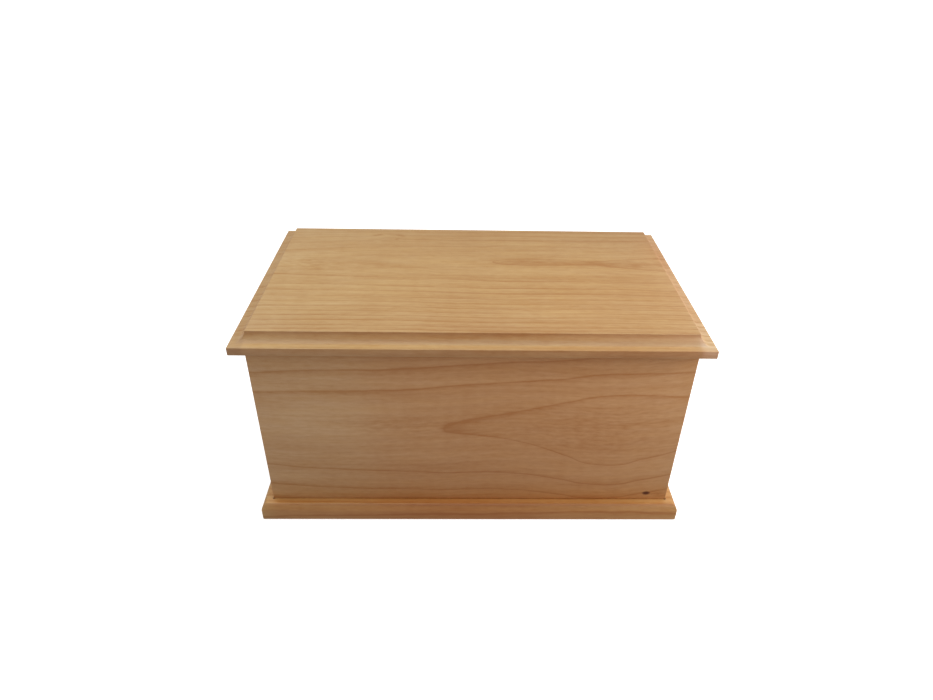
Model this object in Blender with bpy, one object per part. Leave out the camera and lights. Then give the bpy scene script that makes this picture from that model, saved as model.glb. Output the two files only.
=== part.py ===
"""Wooden cremation urn box: four mitred panels on a round-edged base board, under a lift-off lid with a cove edge.

Units are metres. +Z is up and +Y points to the back. The origin is the middle of the underside of the base board.
"""

import math

import bmesh
import bpy
from mathutils import Vector

# The box of four panels, measured over its outer faces
BODY_LENGTH = 0.2655
BODY_WIDTH = 0.1505
PANEL_HEIGHT = 0.1200
PANEL_THICKNESS = 0.0125

# The base board
BASE_OVERHANG = 0.00725
BASE_THICKNESS = 0.0125
BASE_ROUND = 0.003
BASE_ROUND_STEPS = 5

# The lid board: a square lip, a narrow flat, then a quarter-round cove up to the raised field
LID_OVERHANG = 0.00725
LIP_THICKNESS = 0.005
LIP_FLAT = 0.0029
COVE_RADIUS = 0.006
COVE_STEPS = 10

# The tongue under the lid, which drops inside the panels and keeps the lid in place
TONGUE_DEPTH = 0.004
TONGUE_CLEARANCE = 0.0005

# The hairline between two boards that touch
JOINT_GAP = 0.0003

# Heights and plan sizes that follow from the sizes above
PANEL_FOOT = BASE_THICKNESS + JOINT_GAP
LID_FOOT = PANEL_FOOT + PANEL_HEIGHT + JOINT_GAP
BASE_LENGTH = BODY_LENGTH + 2 * BASE_OVERHANG
BASE_WIDTH = BODY_WIDTH + 2 * BASE_OVERHANG
LID_LENGTH = BODY_LENGTH + 2 * LID_OVERHANG
LID_WIDTH = BODY_WIDTH + 2 * LID_OVERHANG
TONGUE_INSET = LID_OVERHANG + PANEL_THICKNESS + TONGUE_CLEARANCE


def clear_scene():
    for obj in list(bpy.data.objects):
        bpy.data.objects.remove(obj, do_unlink=True)


def wood(name, colour, roughness):
    """Clear-finished pale hardwood, with its colour as linear red, green and blue."""
    material = bpy.data.materials.new(name)
    material.use_nodes = True
    shader = material.node_tree.nodes["Principled BSDF"]
    shader.inputs["Base Color"].default_value = (*colour, 1.0)
    shader.inputs["Roughness"].default_value = roughness
    shader.inputs["Metallic"].default_value = 0.0
    return material


def board(length, width, thickness):
    """A squared board as an edit mesh, centred in plan, with its underside at height 0."""
    bm = bmesh.new()
    bmesh.ops.create_cube(bm, size=1.0)
    bmesh.ops.scale(bm, vec=(length, width, thickness), verts=bm.verts)
    bmesh.ops.translate(bm, vec=(0.0, 0.0, thickness / 2), verts=bm.verts)
    return bm


def facing(bm, direction):
    """The one face of a squared board that looks along a direction."""
    return max(bm.faces, key=lambda face: face.normal.dot(Vector(direction)))


def step_in(bm, face, inset, rise=0.0):
    """Shrinks a face evenly inside its own outline, and lifts it along its normal."""
    bmesh.ops.inset_region(bm, faces=[face], thickness=inset, depth=rise, use_even_offset=True)


def push_out(bm, face, distance):
    """Extrudes a face straight along its normal."""
    normal = face.normal.copy()
    raised = bmesh.ops.extrude_discrete_faces(bm, faces=[face])["faces"][0]
    bmesh.ops.translate(bm, vec=normal * distance, verts=raised.verts)


def place(name, bm, material, location, turn=0.0):
    """Makes the edit mesh a named object, turned about the vertical and set in place."""
    mesh = bpy.data.meshes.new(name)
    bmesh.ops.recalc_face_normals(bm, faces=bm.faces)
    bm.to_mesh(mesh)
    bm.free()
    obj = bpy.data.objects.new(name, mesh)
    obj.location = location
    obj.rotation_euler = (0.0, 0.0, turn)
    obj.data.materials.append(material)
    bpy.context.scene.collection.objects.link(obj)
    return obj


def base_board(material):
    """The board under the box, with its four top edges rounded over."""
    bm = board(BASE_LENGTH, BASE_WIDTH, BASE_THICKNESS)
    top_edges = list(facing(bm, (0, 0, 1)).edges)
    bmesh.ops.bevel(
        bm,
        geom=top_edges,
        offset=min(BASE_ROUND, BASE_THICKNESS / 2),
        offset_type="OFFSET",
        segments=BASE_ROUND_STEPS,
        profile=0.5,
        affect="EDGES",
    )
    base = place("base_board", bm, material, (0, 0, 0))
    base.data.shade_smooth()
    base.data.set_sharp_from_angle(angle=math.radians(35))


def panel(name, run, distance, turn, material):
    """One upright panel with its outer face outwards and its two ends mitred at 45 degrees.

    run is the outer length of that side of the box, and distance is from the middle to the outer face.
    """
    # Half the hairline belongs to each of the two panels that meet at a corner.
    end_back = JOINT_GAP / 2 * math.sqrt(2)
    bm = board(run - 2 * end_back, PANEL_THICKNESS, PANEL_HEIGHT)
    for vertex in facing(bm, (0, 1, 0)).verts:
        vertex.co.x -= math.copysign(PANEL_THICKNESS, vertex.co.x)
    middle = distance - PANEL_THICKNESS / 2
    outwards = Vector((math.sin(turn), -math.cos(turn), 0.0))
    location = outwards * middle + Vector((0.0, 0.0, PANEL_FOOT))
    place(name, bm, material, location, turn)


def panels(material):
    """The four walls, in turn round the box from the front."""
    quarter = math.pi / 2
    panel("front_panel", BODY_LENGTH, BODY_WIDTH / 2, 0 * quarter, material)
    panel("right_panel", BODY_WIDTH, BODY_LENGTH / 2, 1 * quarter, material)
    panel("back_panel", BODY_LENGTH, BODY_WIDTH / 2, 2 * quarter, material)
    panel("left_panel", BODY_WIDTH, BODY_LENGTH / 2, 3 * quarter, material)


def lid(material):
    """The lid, cut from one board: lip, cove and raised field above, and the tongue below."""
    bm = board(LID_LENGTH, LID_WIDTH, LIP_THICKNESS)
    underside = facing(bm, (0, 0, -1))
    top = facing(bm, (0, 0, 1))

    step_in(bm, top, LIP_FLAT)
    angles = [math.pi / 2 * step / COVE_STEPS for step in range(COVE_STEPS + 1)]
    for before, after in zip(angles, angles[1:]):
        inset = COVE_RADIUS * (math.sin(after) - math.sin(before))
        rise = COVE_RADIUS * (math.cos(before) - math.cos(after))
        step_in(bm, top, inset, rise)

    step_in(bm, underside, TONGUE_INSET)
    push_out(bm, underside, TONGUE_DEPTH)

    cover = place("lid", bm, material, (0, 0, LID_FOOT))
    cover.data.shade_smooth()
    cover.data.set_sharp_from_angle(angle=math.radians(35))


def main():
    clear_scene()
    lid_wood = wood("lid_wood", (0.552, 0.342, 0.147), 0.42)
    panel_wood = wood("panel_wood", (0.440, 0.240, 0.110), 0.45)
    base_wood = wood("base_wood", (0.480, 0.255, 0.110), 0.45)
    base_board(base_wood)
    panels(panel_wood)
    lid(lid_wood)


main()
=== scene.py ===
"""The looks of a wooden cremation urn box, in metres, round the solids of its six boards.

The box is clear-finished alder: four mitred panels on a round-edged base board, under a lift-off lid
with a cove edge.
"""

import math

import bmesh
import bpy
from mathutils import Matrix, Vector


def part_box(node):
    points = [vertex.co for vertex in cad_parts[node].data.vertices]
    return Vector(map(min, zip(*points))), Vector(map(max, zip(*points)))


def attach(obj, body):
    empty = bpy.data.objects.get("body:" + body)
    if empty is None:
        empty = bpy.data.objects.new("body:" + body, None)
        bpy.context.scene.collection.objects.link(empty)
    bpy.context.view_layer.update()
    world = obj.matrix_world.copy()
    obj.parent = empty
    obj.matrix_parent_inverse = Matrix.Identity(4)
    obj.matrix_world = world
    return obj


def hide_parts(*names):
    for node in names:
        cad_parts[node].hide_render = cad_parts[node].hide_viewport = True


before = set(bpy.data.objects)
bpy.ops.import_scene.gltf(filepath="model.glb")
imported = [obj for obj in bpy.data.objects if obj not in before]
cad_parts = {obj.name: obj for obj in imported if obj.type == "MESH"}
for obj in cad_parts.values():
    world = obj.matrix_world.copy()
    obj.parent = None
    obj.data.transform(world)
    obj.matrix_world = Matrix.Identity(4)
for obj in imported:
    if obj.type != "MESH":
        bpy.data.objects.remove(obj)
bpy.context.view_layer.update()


# Camera
# It stands in front of the box, a little left of its middle, and looks down on it with a wide lens.
# The picture is 933 by 700 pixels, and its middle lies slightly off the lens's axis.
picture_width = 933
focal_pixels = 669.6
axis_offset = Vector((7.4, 1.8))
eye = Vector((-0.00944, -0.39942, 0.34656))
look_down = math.radians(33.47)
look_right = math.radians(1.64)
tilt = math.radians(1.32)
film_width = 36.0
nearest_seen = 0.01

bpy.ops.object.select_all(action="DESELECT")
bpy.ops.object.camera_add()
camera = bpy.context.object
camera.name = "camera"
camera.matrix_world = (
    Matrix.Translation(eye)
    @ Matrix.Rotation(-look_right, 4, "Z")
    @ Matrix.Rotation(math.pi / 2 - look_down, 4, "X")
    @ Matrix.Rotation(tilt, 4, "Z")
)
camera.data.sensor_width = film_width
camera.data.lens = film_width * focal_pixels / picture_width
camera.data.shift_x = -axis_offset.x / picture_width
camera.data.shift_y = axis_offset.y / picture_width
camera.data.clip_start = nearest_seen
bpy.context.scene.camera = camera


# Base board
# One flat board of alder, wider than the box all round, that the box is glued to and stands on.
# A router has rounded its four upper edges and left a crisp corner above the round. The rest is eased
# by hand.
soft_angle = math.radians(20)

# A direction with a cosine past straight counts as along an axis, and a height within a hair as the same.
straight = 0.9
hair = 0.000001


def add_block(name, low, high):
    """A squared board between two corners, alone in the selection, with its place in its mesh."""
    bpy.ops.object.select_all(action="DESELECT")
    bpy.ops.mesh.primitive_cube_add(size=1, location=(low + high) / 2, scale=high - low)
    block = bpy.context.object
    block.name = name
    block.data.name = name
    bpy.ops.object.transform_apply(location=True, rotation=True, scale=True)
    return block


def pick(obj, kind, test):
    """In edit mode, selects the faces or the edges that pass the test, and nothing else."""
    bpy.ops.mesh.select_mode(type=kind)
    bpy.ops.mesh.select_all(action="DESELECT")
    shape = bmesh.from_edit_mesh(obj.data)
    for element in shape.faces if kind == "FACE" else shape.edges:
        element.select_set(test(element))
    bmesh.update_edit_mesh(obj.data)


def middle(edge):
    return (edge.verts[0].co + edge.verts[1].co) / 2


def upright(edge):
    return abs((edge.verts[0].co - edge.verts[1].co).normalized().z) > straight


def finish_piece(obj, material, node):
    """Gives a finished piece its material, and puts it in the place of its solid."""
    bpy.ops.object.shade_smooth_by_angle(angle=soft_angle)
    obj.data.materials.append(material)
    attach(obj, "root")
    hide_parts(node)


class Wire:
    """An output socket in a material, so that what its nodes work out is written as a sum."""

    def __init__(self, tree, socket):
        self.tree = tree
        self.socket = socket

    def node(self, kind, settings, sockets, output=0):
        """Adds a node, with its settings first and then the values or wires of its input sockets."""
        node = self.tree.nodes.new(kind)
        for name, value in settings.items():
            if name == "points":
                fill_curve(node.mapping, value)
            else:
                setattr(node, name, value)
        for name, value in sockets.items():
            if isinstance(name, int):
                target = node.inputs[name]
            else:
                target = next(s for s in node.inputs if s.name == name and s.enabled)
            if isinstance(value, Wire):
                self.tree.links.new(value.socket, target)
            else:
                target.default_value = value
        if isinstance(output, int):
            return Wire(self.tree, node.outputs[output])
        return Wire(self.tree, next(s for s in node.outputs if s.name == output and s.enabled))

    def math(self, operation, *values):
        return self.node("ShaderNodeMath", {"operation": operation}, dict(enumerate(values)))

    def __add__(self, other):
        return self.math("ADD", self, other)

    __radd__ = __add__

    def __sub__(self, other):
        return self.math("SUBTRACT", self, other)

    def __rsub__(self, other):
        return self.math("SUBTRACT", other, self)

    def __mul__(self, other):
        return self.math("MULTIPLY", self, other)

    __rmul__ = __mul__

    def __truediv__(self, other):
        return self.math("DIVIDE", self, other)

    def __rtruediv__(self, other):
        return self.math("DIVIDE", other, self)

    def __pow__(self, other):
        return self.math("POWER", self, other)

    def __rpow__(self, other):
        return self.math("POWER", other, self)


def fill_curve(mapping, points):
    """Sets a float curve through points that run from 0 to 1 both ways."""
    curve = mapping.curves[0]
    while len(curve.points) < len(points):
        curve.points.new(0.5, 0.5)
    for handle, place in zip(curve.points, points):
        handle.location = place
    mapping.update()


def drawn(value, points):
    """A smooth curve through drawn points, in the units of what goes in and comes out."""
    first, last = points[0][0], points[-1][0]
    low = min(height for place, height in points)
    high = max(height for place, height in points)
    scaled = [((place - first) / (last - first), (height - low) / (high - low)) for place, height in points]
    share = (value - first) / (last - first)
    return value.node("ShaderNodeFloatCurve", {"points": scaled}, {"Value": share}) * (high - low) + low


def noise(where, stretch, detail, seed):
    """Soft noise from 0 to 1, with stretch the number of its waves in a millimetre each way."""
    settings = {"operation": "MULTIPLY_ADD"}
    scaled = where.node("ShaderNodeVectorMath", settings, {0: where, 1: stretch, 2: (seed, seed, seed)})
    return where.node("ShaderNodeTexNoise", {}, {"Vector": scaled, "Scale": 1.0, "Detail": detail}, "Fac")


def blend(factor, first, second, how="MIX", clamp=True):
    """A colour between two others, or past them where the factor isn't clamped."""
    wire = next(value for value in (factor, first, second) if isinstance(value, Wire))
    settings = {"data_type": "RGBA", "blend_type": how, "clamp_factor": clamp}
    return wire.node("ShaderNodeMix", settings, {"Factor": factor, "A": first, "B": second}, "Result")


def tint(red, green, blue):
    return (red, green, blue, 1.0)


def stain(colour, amount, full):
    """Multiplies a colour by white where the amount is 0, and by the full stain where it is 1."""
    return blend(1.0, colour, blend(amount, tint(1, 1, 1), full, clamp=False), "MULTIPLY")


def patch(x, y, spot):
    """A soft oval spot that is 1 at its middle, from its place, half length and half width in millimetres."""
    place_x, place_y, length, width = spot
    away_x = (x - place_x) / length
    away_y = (y - place_y) / width
    return x.math("EXPONENT", (away_x * away_x + away_y * away_y) * -1.0)


def alder(
    name, along, outward, heart, rise, rings, colour, seed,
    line=1.2, mark=0.6, waver=0.9, fine=0.35, bend=None, swirls=(),
    grey_and_painted_light=None, pale_and_lit_spots=(), painted_sheen=None, painted_shading_x=None, painted_shadow_y=None, smears_and_shadows=(), flecked=(), knots=(),
    slant_stain_and_shading=(0.86, 0.86, 0.90), slant_lean=1, edge_grain_and_shading=(1.0, 0.83, 0.90),
):
    """Clear-finished alder, sawn from a log whose pith runs along the board through the point heart.

    along is the way of the grain and outward the way to the board's face. On the face, x is millimetres
    along and y millimetres across from the heart. rise bends the growth rings along the board, in square
    millimetres at each x, and rings counts them at each radius. line is how far a ring's dark edge fades
    inwards over the face, mark its strength and waver how unevenly it shows. fine is the strength of the
    fine lines between the rings. bend is how far the pith wanders across at each x.

    grey_and_painted_light is how much greyer and paler the wood is at each x, partly as its own tone
    and partly as painted light, as on the corners of the base board where the panels cast less shadow.
    painted_sheen is a painted whitish sheen at each x, and painted_shading_x is painted shading at each x,
    which paints light where it is below 0. painted_shadow_y is a painted brown shadow at each y.
    slant_stain_and_shading is the stain of a face that a router cut at a slant, partly from the cut and
    partly painted shading, and slant_lean is how far it keeps to the flatter part of it.
    edge_grain_and_shading is the stain of a sawn edge, partly edge grain and partly painted shading on
    the faces that turn away from the board's face.

    A swirl lifts the grain. A spot of pale_and_lit_spots is greyer and paler, partly as tone and partly as a
    painted glint, and darker, as painted shading, where its amount is below 0. A spot of smears_and_shadows
    is darker, partly as a smear in the figure and partly as a painted shadow, as under the lid's lip and at
    the foot of a panel. A flecked spot is dark in flecks. Each is a soft oval: its x, y, half length and half
    width, and how much it does. A knot is its first four.
    """
    millimetres = 1000
    material = bpy.data.materials.new(name)
    material.use_nodes = True
    tree = material.node_tree
    shader = tree.nodes["Principled BSDF"]
    across = Vector(outward).cross(Vector(along))
    turn = Matrix((along, across, outward))
    start = Wire(tree, tree.nodes.new("ShaderNodeTexCoord").outputs["Object"])
    board = start.node(
        "ShaderNodeMapping",
        {"vector_type": "POINT"},
        {
            "Vector": start,
            "Location": -millimetres * (turn @ Vector(heart)),
            "Rotation": turn.to_euler(),
            "Scale": (millimetres, millimetres, millimetres),
        },
    )
    x, y, z = (board.node("ShaderNodeSeparateXYZ", {}, {0: board}, axis) for axis in range(3))
    flow = y - drawn(x, bend) if bend else y
    for *spot, lift in swirls:
        flow = flow - patch(x, y, spot) * lift
    where = board.node("ShaderNodeCombineXYZ", {}, {0: x, 1: flow, 2: z})

    # The way that the face looks, along the board, across it and outwards
    normal = start.node("ShaderNodeNewGeometry", {}, {}, "Normal")
    lengthwise, sideways, facing = (
        start.node("ShaderNodeVectorMath", {"operation": "DOT_PRODUCT"}, {0: normal, 1: way}, "Value")
        for way in (along, across, outward)
    )

    # The rings: the log wanders slowly and shakes a little, both within a millimetre to each side. A ring
    # ends at a whole age, and its dark edge is as wide on a face that cuts the rings at a slant as on one
    # that cuts them square. It ends suddenly outwards, and inwards it has a long faint tail.
    sway = 2
    least_slant = 0.0006
    sudden = 0.3 * line
    tail = 6.0 * line
    tail_mark = 0.15
    end_fade = 0.6
    drift = 0.01
    wander = (noise(where, (0.008, 0.01, 0.01), 1.0, seed) - 0.5) * sway
    shake = (noise(where, (0.03, 0.09, 0.09), 3.0, seed + 3) - 0.5) * sway
    off = flow + wander + shake
    radius = (off * off + z * z + drawn(x, rise)) ** 0.5
    age = drawn(radius, rings)
    pace = drawn(radius + 0.5, rings) - drawn(radius - 0.5, rings)
    square = off * sideways + z * facing
    slant = (1.0 + least_slant - square * square / (off * off + z * z)) ** 0.5
    since = age.math("FRACT", age)
    inside = (1.0 - since) / (pace * slant)
    outside = since / (pace * slant)
    edge = since.math("EXPONENT", inside / -line)
    edge = since.math("MAXIMUM", edge, since.math("EXPONENT", outside / -sudden))
    edge = edge + since.math("EXPONENT", inside / -tail) * tail_mark
    fade = (noise(where, (0.012, 0.03, 0.03), 2.0, seed + 7) - 0.5) * waver + 1.0
    fade = fade * (1.0 - lengthwise * lengthwise * end_fade)
    lines = age.node("ShaderNodeCombineXYZ", {}, {0: radius, 1: x * drift})
    bands = noise(lines, (0.7, 1.0, 1.0), 4.0, seed) - 0.5

    # The fibres: broad soft streaks, narrower ones, short flecks, fine threads, a ripple across the grain and
    # the dark dashes of open pores
    broad = noise(where, (0.007, 0.12, 0.12), 2.0, seed + 9) - 0.5
    streaks = noise(where, (0.02, 0.45, 0.45), 3.0, seed + 11) - 0.5
    flecks = noise(where, (0.16, 0.6, 0.6), 2.0, seed + 12) - 0.5
    threads = noise(where, (0.04, 2.2, 2.2), 2.0, seed + 13) - 0.5
    ripple = noise(where, (0.12, 0.02, 0.02), 2.0, seed + 15) - 0.5
    pores = noise(where, (0.16, 3.2, 3.2), 1.0, seed + 17)
    dashes = pores.node("ShaderNodeMapRange", {}, {"Value": pores, "From Min": 0.62, "From Max": 0.74})
    strengths = (
        (broad, 0.7), (streaks, 0.7), (flecks, 0.6), (ripple, 0.2), (threads, 0.3), (dashes, 0.3),
    )

    # The colour: late wood is darker and redder than early wood, and some of it leans to honey.
    early_wood = tint(1.10, 1.17, 1.27)
    late_wood = tint(0.80, 0.64, 0.46)
    honey = tint(1.0, 0.95, 0.78)
    # Of these tints, the first stands for a greyer tone that is partly painted light, the second for a
    # painted sheen, the third for painted shading and the fourth for a painted brown shadow.
    greyer_and_lit_tint = tint(1.05, 1.20, 1.36)
    painted_sheen_tint = tint(1.02, 1.0, 1.28)
    painted_shading_tint = tint(0.90, 0.88, 0.90)
    painted_shadow_tint = tint(0.87, 0.79, 0.67)
    plain_wood = 0.35
    fleck_contrast = 3.5
    fleck_ground = 0.8
    late = edge * fade * mark + bands * fine
    for fibre, strength in strengths:
        late = late + fibre * strength
    # Darker spots: partly smears in the figure and partly painted shadows, under the lid's lip, at the foot
    # of a panel and on the base board's round.
    for *spot, amount in smears_and_shadows:
        late = late + patch(x, y, spot) * amount
    for *spot, amount in flecked:
        late = late + patch(x, y, spot) * (flecks * fleck_contrast + fleck_ground) * amount
    hue = noise(where, (0.04, 0.2, 0.2), 2.0, seed + 23)
    wood = blend(late + plain_wood, early_wood, late_wood)
    wood = blend(1.0, wood, colour, "MULTIPLY")
    wood = stain(wood, hue, honey)
    # Greyer and paler: partly the wood's own tone, and partly painted light and painted glints.
    paleness_and_light = drawn(x, grey_and_painted_light) if grey_and_painted_light else 0.0
    for *spot, amount in pale_and_lit_spots:
        paleness_and_light = patch(x, y, spot) * amount + paleness_and_light
    if grey_and_painted_light or pale_and_lit_spots:
        wood = stain(wood, paleness_and_light, greyer_and_lit_tint)
    # A painted whitish sheen at each x.
    if painted_sheen:
        wood = stain(wood, drawn(x, painted_sheen), painted_sheen_tint)
    # Painted shading at each x, and painted light where it is below 0.
    if painted_shading_x:
        wood = stain(wood, drawn(x, painted_shading_x), painted_shading_tint)
    # A painted brown shadow at each y.
    if painted_shadow_y:
        wood = stain(wood, drawn(y, painted_shadow_y), painted_shadow_tint)

    # A pin knot is a dark lens with pointed ends in the face.
    knot_stain = tint(0.16, 0.07, 0.08)
    for place_x, place_y, length, width in knots:
        lens = 1.0 - ((x - place_x) / length) ** 2 - y.math("ABSOLUTE", y - place_y) / width
        core = lens.node("ShaderNodeMapRange", {}, {"Value": lens, "From Min": -0.3, "From Max": 0.6})
        wood = stain(wood, core, knot_stain)

    # The ends of the fibres drink more of the finish, so end grain is darker, and so in part are the sawn
    # edges; the rest of their stain is painted shading. A face that a router cut at a slant is darker, partly
    # from the cut and partly as painted shading, and this is full at one slant, which is half way between
    # flat and upright at a lean of 1, and nearer to flat at a greater lean.
    end_stain = tint(0.80, 0.74, 0.66)
    full_slant_stain = (1 + slant_lean) ** (1 + slant_lean) / slant_lean ** slant_lean
    wood = stain(wood, lengthwise * lengthwise, end_stain)
    # A face cut at a slant: partly the cut's stain and partly painted shading.
    wood = stain(wood, (facing ** slant_lean * sideways) ** 2 * full_slant_stain, tint(*slant_stain_and_shading))
    # Faces that turn away from the board's face: partly edge grain and partly painted shading.
    wood = stain(wood, 1.0 - facing.math("ABSOLUTE", facing), tint(*edge_grain_and_shading))

    # The clear finish is satin, a little rougher in the pores, and lets them and the threads be felt.
    satin = 0.42
    pore_rough = 0.1
    thread_rough = 0.15
    thread_height = 0.5
    rough = satin + dashes * pore_rough + threads * thread_rough
    height = threads * thread_height - dashes
    bump = start.node("ShaderNodeBump", {}, {"Strength": 0.25, "Distance": 0.00003, "Height": height})
    tree.links.new(wood.socket, shader.inputs["Base Color"])
    tree.links.new(rough.socket, shader.inputs["Roughness"])
    tree.links.new(bump.socket, shader.inputs["Normal"])
    return material


low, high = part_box("base_board")
round_width = 0.003
round_radius = 0.0048
round_steps = 12
foot_ease = 0.0008
corner_ease = 0.0004
sweep = math.acos(1 - round_width / round_radius)

base = add_block("base", low, high - Vector((0, 0, round_radius * math.sin(sweep))))
bpy.ops.object.mode_set(mode="EDIT")
pick(base, "FACE", lambda face: face.normal.z > straight)
for step in range(round_steps):
    before = sweep * step / round_steps
    after = sweep * (step + 1) / round_steps
    inset = round_radius * (math.cos(before) - math.cos(after))
    bpy.ops.mesh.inset(thickness=inset, depth=round_radius * (math.sin(after) - math.sin(before)))
pick(base, "EDGE", upright)
bpy.ops.mesh.bevel(offset=corner_ease, segments=3, affect="EDGES")
pick(base, "EDGE", lambda edge: max(edge.verts[0].co.z, edge.verts[1].co.z) < low.z + hair)
bpy.ops.mesh.bevel(offset=foot_ease, segments=4, affect="EDGES")
bpy.ops.object.mode_set(mode="OBJECT")
base_wood = alder(
    "alder_base",
    along=(1, 0, 0),
    outward=(0, 0, 1),
    heart=(0, 0.03, high.z - 0.06),
    rise=[(-150, 300), (-60, 60), (20, 0), (90, -220), (150, -100)],
    rings=[(20, 0), (60, 9), (110, 20), (160, 30)],
    colour=tint(0.500, 0.230, 0.072),
    seed=31.0,
    # Greyer and paler: partly tone, and partly painted light on the corners, where the panels cast less
    # shadow.
    grey_and_painted_light=[
        (-140, 4.4), (-132, 1.7), (-125, 1.15), (-100, 0.95), (-70, 0.5), (-45, 0.05),
        (0, 0.1), (60, 0.75), (110, 1.2), (134, 1.4), (140, 3.0),
    ],
    # Painted shading on the round of the base board, and a painted shadow at the foot of the panels.
    smears_and_shadows=[(0, -110.3, 180, 0.7, 0.44), (-10, -110.8, 55, 1.2, 0.4), (0, -105.2, 150, 0.6, 0.28)],
    # The round is darkened, partly as the cut's stain and partly as painted shading.
    slant_stain_and_shading=(0.78, 0.76, 0.76),
    edge_grain_and_shading=(1.04, 0.92, 0.92),
)
finish_piece(base, base_wood, "base_board")


# Panels
# Four boards of alder, mitred at the corners and glued to each other and to the base board.
# The front one is cut from near the middle of a wide plank, so that a ring's edge makes a tongue on it.
glue_gap = 0.0002
lid_gap = 0.00005
tongue = 0.004
low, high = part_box("base_board")
foot = high.z + glue_gap
low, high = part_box("front_panel")
left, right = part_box("left_panel")[0].x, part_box("right_panel")[1].x
front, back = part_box("front_panel")[0].y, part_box("back_panel")[1].y
case_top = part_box("lid")[0].z + tongue - lid_gap
wall = high.y - low.y
arris = 0.0004
foot_arris = 0.0003
glue_line = 0.00004
panel_colour = tint(0.645, 0.328, 0.146)


def outer(edge):
    """Whether an edge of the case runs round the outside of it."""
    place = middle(edge)
    return abs(place.x) > right - wall / 2 or abs(place.y) > back - wall / 2


case = add_block("case", Vector((left, front, foot)), Vector((right, back, case_top)))
bpy.ops.object.mode_set(mode="EDIT")
pick(case, "FACE", lambda face: abs(face.normal.z) > straight)
bpy.ops.mesh.inset(thickness=wall)
bpy.ops.mesh.bridge_edge_loops()
pick(case, "EDGE", lambda edge: upright(edge) and abs(middle(edge).x) > right - hair)
bpy.ops.mesh.bevel(offset=arris, segments=4, affect="EDGES")
pick(case, "EDGE", lambda edge: abs(middle(edge).z - foot) < hair and outer(edge))
bpy.ops.mesh.bevel(offset=foot_arris, segments=3, affect="EDGES")
bpy.ops.object.mode_set(mode="OBJECT")


def cut_panel(name, outward):
    """A copy of the case, cut back to one side of it by its two mitres."""
    bpy.ops.object.select_all(action="DESELECT")
    bpy.context.view_layer.objects.active = case
    case.select_set(True)
    bpy.ops.object.duplicate()
    panel = bpy.context.object
    panel.name = name
    panel.data.name = name
    outward = Vector(outward)
    sideways = outward.cross(Vector((0, 0, 1)))
    bpy.ops.object.mode_set(mode="EDIT")
    for side in (-1, 1):
        reach = outward + side * sideways
        corner = Vector((right * reach.x, back * reach.y, 0))
        normal = (side * sideways - outward).normalized()
        cut = corner - normal * glue_line
        bpy.ops.mesh.select_all(action="SELECT")
        bpy.ops.mesh.bisect(plane_co=cut, plane_no=normal, use_fill=True, clear_outer=True)
    bpy.ops.object.mode_set(mode="OBJECT")
    return panel


front_face = cut_panel("front", (0, -1, 0))
front_wood = alder(
    "alder_front",
    along=(1, 0, 0),
    outward=(0, -1, 0),
    heart=(0, front + 0.140, 0.0725),
    rise=[
        (-133, 390), (-80, 215), (-40, 133), (-26, 50), (-18, 0), (-8, -26), (4, -55), (16, -92),
        (28, -160), (40, -252), (60, -484), (80, -784), (92, -830), (110, -690), (133, -490),
    ],
    rings=[(122.2, -4), (140, 0), (144.4, 1), (148.8, 2), (162.2, 5)],
    bend=[
        (-133, 0.5), (-80, -1.7), (-40, -1.9), (0, -0.2), (20, 0.5),
        (60, -0.7), (80, -1.5), (110, 0.9), (133, 4.6),
    ],
    swirls=[(45, 0, 100, 26, 4.2), (-133, 45, 28, 8, -2.4)],
    mark=0.66,
    waver=0.5,
    colour=tint(0.655, 0.330, 0.146),
    seed=5.0,
    # Greyer and paler towards the ends of the panel.
    grey_and_painted_light=[(-133, 1.3), (-90, 1.1), (-40, 0.25), (0, 0.05), (60, 0.0), (110, 0.25), (133, 0.45)],
    # A painted brown shadow at the panel's foot and under the lid's lip.
    painted_shadow_y=[
        (-60, 1.4), (-57, 0.95), (-45, 0.5), (-30, 0.28), (-15, 0.12),
        (0, 0.0), (47, 0.0), (52, 0.2), (60, 0.3),
    ],
    # The spots at y 53, 55.6 and -59.7 paint the shadow under the lid's lip and at the foot; the rest are
    # marks in the figure.
    smears_and_shadows=[
        (-108, 53, 30, 4, 0.22), (-105, 8, 45, 18, -0.15), (-55, -59.7, 60, 0.9, 0.32),
        (0, 55.6, 200, 0.8, 0.12), (-95, 46, 60, 2.5, -0.11), (120, 28.5, 25, 2.5, -0.1),
        (-90, -49, 45, 2.5, -0.1), (62, -57, 14, 2, -0.16), (105, 44.5, 40, 2.5, -0.05),
        (80, 28, 14, 2.5, -0.1), (-36, -35.5, 12, 2, 0.08), (84, -27.5, 16, 2.2, 0.08),
        (82, -46.2, 22, 2, 0.09), (62, -22, 5, 5, 0.08), (-6, 1, 9, 3.2, 0.14),
    ],
    flecked=[(-46, 4, 30, 5, 0.22), (75, 3, 48, 20, 0.18), (127, -54, 7, 2.5, 0.4)],
    knots=[(118.8, -54.2, 3.0, 1.8)],
)
finish_piece(front_face, front_wood, "front_panel")

right_side = cut_panel("right", (1, 0, 0))
right_wood = alder(
    "alder_right",
    along=(0, 1, 0),
    outward=(1, 0, 0),
    heart=(right - 0.09, 0, 0.055),
    rise=[(-80, -400), (-20, -60), (30, 150), (80, 300)],
    rings=[(70, -4), (90, 0), (130, 9)],
    colour=panel_colour,
    seed=47.0,
)
finish_piece(right_side, right_wood, "right_panel")

rear = cut_panel("back", (0, 1, 0))
back_wood = alder(
    "alder_back",
    along=(-1, 0, 0),
    outward=(0, 1, 0),
    heart=(0, back - 0.110, 0.110),
    rise=[(-133, -300), (-60, -420), (0, -100), (60, 120), (133, 380)],
    rings=[(92, -4), (110, 0), (165, 12)],
    colour=panel_colour,
    seed=71.0,
)
finish_piece(rear, back_wood, "back_panel")

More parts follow.
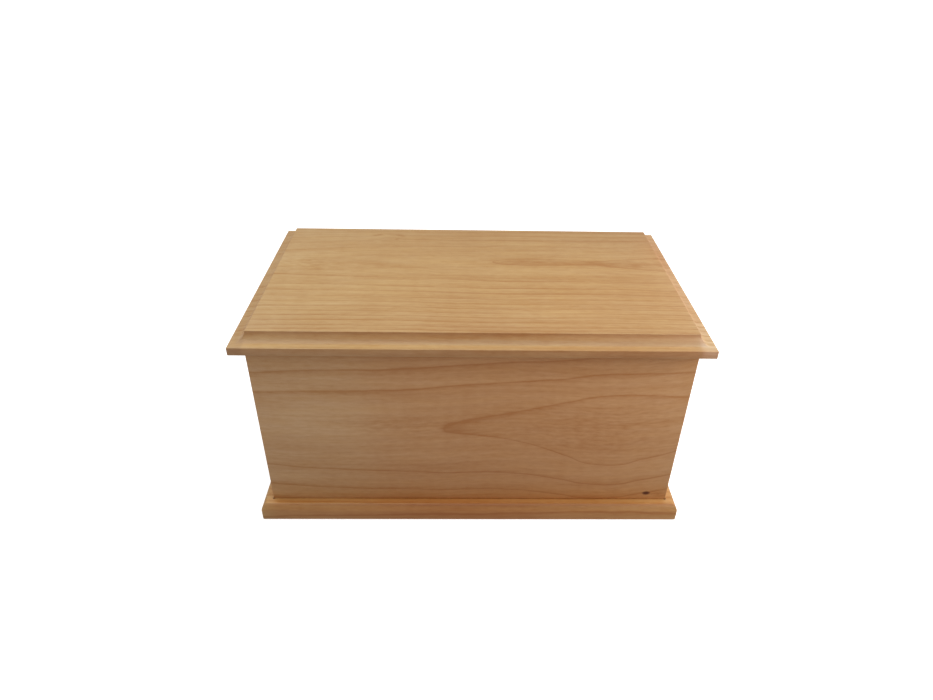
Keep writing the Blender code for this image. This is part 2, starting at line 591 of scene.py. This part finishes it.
left_side = cut_panel("left", (-1, 0, 0))
left_wood = alder(
    "alder_left",
    along=(0, -1, 0),
    outward=(-1, 0, 0),
    heart=(left + 0.08, 0, 0.095),
    rise=[(-80, 260), (-20, 80), (30, -90), (80, -350)],
    rings=[(60, -4), (80, 0), (120, 9)],
    colour=panel_colour,
    seed=93.0,
)
finish_piece(left_side, left_wood, "left_panel")
bpy.data.objects.remove(case)


# Lid
# One board of alder that lifts off. A router has cut a cove round its upper face, which leaves a square lip
# and a raised field, and a shallow tongue is left under it, which drops inside the panels.
low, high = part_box("lid")
lip = 0.005
lip_flat = 0.0029
cove = 0.006
cove_steps = 20
tongue_inset = 0.02025
lid_ease = 0.0002
sharp_angle = math.radians(60)


def crisp(edge):
    """Whether an edge of the lid is one that sandpaper softens: a sharp outward corner."""
    return edge.is_convex and edge.calc_face_angle() > sharp_angle


lid = add_block("cover", low + Vector((0, 0, tongue)), Vector((high.x, high.y, low.z + tongue + lip)))
bpy.ops.object.mode_set(mode="EDIT")
pick(lid, "FACE", lambda face: face.normal.z > straight)
bpy.ops.mesh.inset(thickness=lip_flat)
for step in range(cove_steps):
    before = math.pi / 2 * step / cove_steps
    after = math.pi / 2 * (step + 1) / cove_steps
    inset = cove * (math.sin(after) - math.sin(before))
    bpy.ops.mesh.inset(thickness=inset, depth=cove * (math.cos(before) - math.cos(after)))
pick(lid, "FACE", lambda face: face.normal.z < -straight)
bpy.ops.mesh.inset(thickness=tongue_inset)
bpy.ops.mesh.inset(thickness=0.0, depth=tongue)
pick(lid, "EDGE", crisp)
bpy.ops.mesh.bevel(offset=lid_ease, segments=3, affect="EDGES")
bpy.ops.object.mode_set(mode="OBJECT")
lid_wood = alder(
    "alder_lid",
    along=(1, 0, 0),
    outward=(0, 0, 1),
    heart=(0, 0.018, high.z - 0.0323),
    rise=[
        (-140, 425), (-90, 254), (-50, 135), (0, 50), (14, 0), (27, -22),
        (45, -28), (70, -16), (85, -9), (100, -34), (140, -150),
    ],
    rings=[
        (10, -2), (32.3, 0), (42.2, 1), (49.5, 2), (55, 3), (61, 4), (66.3, 5),
        (71.5, 6), (76.5, 7), (81.2, 8), (86.2, 9), (91.3, 10), (95.5, 11), (108, 12), (115, 13),
    ],
    bend=[(-140, -3.0), (-90, 0.0), (-50, 0.5), (0, -0.3), (80, 0.0), (140, -1.5)],
    colour=tint(0.498, 0.300, 0.125),
    seed=13.0,
    line=0.7,
    mark=0.55,
    fine=0.65,
    waver=1.3,
    # Greyer and paler at the ends: partly tone, and partly painted light at the right end.
    grey_and_painted_light=[(-140, 0.6), (-60, 0.2), (0, 0.0), (130, 0.0), (132, 0.35), (140, 0.4)],
    # A painted whitish sheen on the right end's cove and lip.
    painted_sheen=[(-60, 0.0), (100, 0.0), (130.3, 0.25), (131.6, 0.9), (140, 0.9)],
    # Painted shading on the left end's cove and lip and by the right end of the field, and painted light on
    # the left of the field and on the right end's cove and lip.
    painted_shading_x=[
        (-140, 0.4), (-134, 0.8), (-131.8, 0.7), (-130.4, -0.4), (-90, -0.4), (-50, -0.3),
        (0, 0.0), (60, 0.1), (110, 0.45), (130.3, 0.3), (131.6, -0.7), (140, -0.9),
    ],
    # The cove is darkened, partly as the cut's stain and partly as painted shading.
    slant_stain_and_shading=(0.87, 0.86, 0.90),
    slant_lean=3,
    edge_grain_and_shading=(1.05, 0.88, 0.94),
    # Painted glints at the right end and its front corner, painted shading at x 133, y 22, and on the front
    # lip and cove a greyer tone that is partly painted sheen.
    pale_and_lit_spots=[
        (-70, -98.6, 70, 1.8, 0.4), (137, -93, 7, 26, 0.8), (120, -80, 30, 20, 0.25),
        (133, 22, 12, 25, -0.5), (5, -95, 40, 1.5, 0.35),
    ],
    swirls=[(-60, 41, 9, 7, 4), (40, 0, 40, 9, 2)],
    # The spots on the cove and lip, from y -92 to -101, and the one at x 138 paint shading; the rest are
    # marks in the figure.
    smears_and_shadows=[
        (36, 2, 18, 5, 0.38), (72, 0, 22, 3.5, 0.36), (90, -0.5, 8, 3, 0.24), (36, 15, 30, 6, 0.12),
        (-71, 43.6, 2, 1.0, 0.6), (-68, 45, 2, 1.2, 0.7), (-58, 44.5, 2.5, 1.0, 0.4),
        (-53.5, 44.6, 2, 1.2, 0.7), (-50.5, 43, 2, 1.0, 0.6), (-60, 48, 6, 1.0, 0.3),
        (-54.5, 37, 1.6, 1.2, 0.5), (-60, 42, 16, 4, -0.1), (-20, -92, 60, 1.2, 0.36),
        (-20, -99, 45, 1.0, 0.1), (108, -101, 32, 1.8, 0.28), (138, 22, 4, 30, 0.2),
        (-30, -98.6, 120, 1.8, 0.08),
    ],
    flecked=[
        (40, 2, 22, 5, 0.12), (112, -1, 22, 6, 0.22), (-112, -6, 18, 12, 0.24), (112, -84, 20, 1.0, 0.35),
    ],
)
finish_piece(lid, lid_wood, "lid")


# Floor and lights
# A plain white floor, which glows a little so that shadows on it stay faint, in an even white room.
# A wide soft light hangs overhead. Small lamps stand to the right, to the right of the front and to the left.
floor_size = 40
floor_white = tint(0.9, 0.9, 0.9)
floor_glow = 0.55
room_light = 0.376
overhead_spread = math.radians(70)
overhead_light = 0.525 * math.pi
overhead_lean = (math.radians(-7), math.radians(4), 0)
box_middle = Vector((0, 0, 0.07))
lamp_size = 0.3

bpy.ops.object.select_all(action="DESELECT")
bpy.ops.mesh.primitive_plane_add(size=floor_size, location=(0, 0, 0))
floor = bpy.context.object
floor.name = "floor"
floor.visible_diffuse = False
floor.visible_glossy = False
paint = bpy.data.materials.new("white_floor")
paint.use_nodes = True
paint_shader = paint.node_tree.nodes["Principled BSDF"]
paint_shader.inputs["Base Color"].default_value = floor_white
paint_shader.inputs["Roughness"].default_value = 1.0
paint_shader.inputs["Specular IOR Level"].default_value = 0.0
paint_shader.inputs["Emission Color"].default_value = tint(1, 1, 1)
paint_shader.inputs["Emission Strength"].default_value = floor_glow
floor.data.materials.append(paint)

room = bpy.data.worlds.new("room")
room.use_nodes = True
room.node_tree.nodes["Background"].inputs["Color"].default_value = tint(1, 1, 1)
room.node_tree.nodes["Background"].inputs["Strength"].default_value = room_light
bpy.context.scene.world = room
bpy.context.scene.view_settings.view_transform = "Standard"

bpy.ops.object.light_add(type="SUN", location=(0, 0, 1))
overhead = bpy.context.object
overhead.name = "overhead"
overhead.data.angle = overhead_spread
overhead.data.energy = overhead_light
overhead.rotation_euler = overhead_lean


def add_lamp(name, place, power):
    """A square lamp that points at the middle of the box."""
    bpy.ops.object.light_add(type="AREA", location=place)
    lamp = bpy.context.object
    lamp.name = name
    lamp.data.shape = "SQUARE"
    lamp.data.size = lamp_size
    lamp.data.energy = power
    lamp.rotation_euler = (box_middle - lamp.location).to_track_quat("-Z", "Y").to_euler()


add_lamp("right_lamp", place=(0.6, -0.1, 0.3), power=1.9)
add_lamp("front_lamp", place=(0.45, -0.3, 0.3), power=0.6)
add_lamp("left_lamp", place=(-0.4, 0.1, 0.35), power=0.35)
